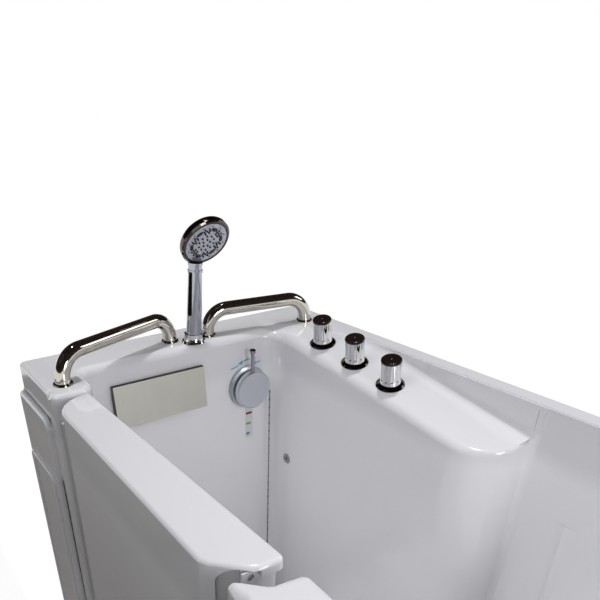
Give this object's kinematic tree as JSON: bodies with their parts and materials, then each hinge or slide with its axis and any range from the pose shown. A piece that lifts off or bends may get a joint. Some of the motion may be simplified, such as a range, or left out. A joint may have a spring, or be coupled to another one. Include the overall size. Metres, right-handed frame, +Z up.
{
  "type": "walk-in bathtub",
  "caption": "White walk-in bathtub with an inward-opening side door, a seat, deck-mounted grab bars, a hand shower, ledge valves and a waterfall filler.",
  "frame": {"origin": "centre of the overall box in plan, on the floor under the levelling feet", "axes": "+X from the faucet end to the seat end, +Y from the door side to the wall side, +Z up"},
  "size_m": [1.35, 0.776, 1.2538],
  "materials": {
    "acrylic": "glossy white acrylic",
    "frame_steel": "powder coated",
    "zinc": "zinc plated",
    "hinge_steel": "satin stainless",
    "rubber": "matt",
    "white_plastic": "smooth",
    "chrome": "polished",
    "dark_chrome": "polished, dark",
    "brass": "cast and machined",
    "grey_plastic": "smooth",
    "satin_silver": "satin silver",
    "black_gloss": "glossy",
    "satin_steel": "satin",
    "pipe_grey": "moulded"
  },
  "bodies": {
    "tub": {"tub_shell": "acrylic", "front_apron": "acrylic", "faucet_end_panel": "acrylic", "seat_end_panel": "acrylic", "base_frame": "frame_steel", "frame_posts": "frame_steel", "levelling_feet": "zinc", "foot_locknuts": "zinc", "door_seal": "rubber", "hinge_jamb_leaves": "hinge_steel", "hinge_pins": "hinge_steel", "strike_plate": "hinge_steel", "grab_bar_front": "chrome", "grab_bar_back": "chrome", "grab_bar_flanges": "chrome", "grab_bar_nuts": "zinc", "shower_holder": "chrome", "holder_nut": "brass", "valve_flanges": "dark_chrome", "valve_bodies": "brass", "valve_nuts": "brass", "mixer_pipe": "brass", "waterfall_cover": "satin_steel", "waterfall_box": "white_plastic", "control_ring": "grey_plastic", "overflow_elbow": "pipe_grey", "overflow_pipe": "pipe_grey", "waste_valve_body": "pipe_grey", "drain_flange": "chrome", "drain_body": "pipe_grey", "drain_plug": "rubber", "plug_chain": "chrome", "water_jet": "chrome"},
    "door": {"door_panel": "acrylic", "hinge_door_leaves": "hinge_steel", "end_gasket": "rubber", "latch_plate": "white_plastic", "latch_rose": "chrome"},
    "bolt": {"latch_bolt": "hinge_steel"},
    "lever": {"latch_lever": "chrome"},
    "valve_1": {"handle_1": "chrome", "handle_cap_1": "black_gloss"},
    "valve_2": {"handle_2": "chrome", "handle_cap_2": "black_gloss"},
    "valve_3": {"handle_3": "chrome", "handle_cap_3": "black_gloss"},
    "waste_control": {"control_knob": "satin_silver", "control_lever": "chrome"},
    "waste_valve": {"waste_valve_lever": "black_gloss"},
    "hand_shower": {"shower_grip": "chrome", "shower_neck": "chrome", "shower_head": "dark_chrome", "spray_face": "grey_plastic"}
  },
  "joints": [
    {"name": "door_swing", "type": "hinge", "parent": "tub", "child": "door", "pos_m": [-0.4398, -0.285, 0.6], "axis": [0, 0, 1], "range_deg": [0, 54]},
    {"name": "lever_turn", "type": "hinge", "parent": "door", "child": "lever", "pos_m": [0.1078, -0.28305, 0.83], "axis": [0.0292, -0.9996, 0], "range_deg": [0, 90]},
    {"name": "bolt_slide", "type": "slide", "parent": "door", "child": "bolt", "axis": [1, 0, 0], "range_m": [0, 0.055]},
    {"name": "valve_turn_1", "type": "hinge", "parent": "tub", "child": "valve_1", "pos_m": [-0.416, 0.268, 0.96715], "axis": [0.1225, -0.2131, 0.9693], "range_deg": [0, 90]},
    {"name": "valve_turn_2", "type": "hinge", "parent": "tub", "child": "valve_2", "pos_m": [-0.305, 0.268, 0.95313], "axis": [0.1225, -0.2131, 0.9693], "range_deg": [0, 90]},
    {"name": "valve_turn_3", "type": "hinge", "parent": "tub", "child": "valve_3", "pos_m": [-0.194, 0.268, 0.93911], "axis": [0.1225, -0.2131, 0.9693], "range_deg": [0, 90]},
    {"name": "waste_control_turn", "type": "hinge", "parent": "tub", "child": "waste_control", "pos_m": [-0.545, 0.138, 0.846], "axis": [1, 0, 0], "range_deg": [-45, 45]},
    {"name": "waste_valve_turn", "type": "hinge", "parent": "tub", "child": "waste_valve", "pos_m": [-0.525, 0.102, 0.058], "axis": [0, 1, 0], "range_deg": [-45, 45]},
    {"name": "shower_lift", "type": "slide", "parent": "tub", "child": "hand_shower", "axis": [0.0349, 0.0604, 0.9976], "range_m": [0, 0.15]}
  ],
  "couplings": [
    {"joint": "bolt_slide", "follows": "lever_turn", "m_per_rad": 0.035014},
    {"joint": "waste_valve_turn", "follows": "waste_control_turn", "ratio": 1}
  ]
}
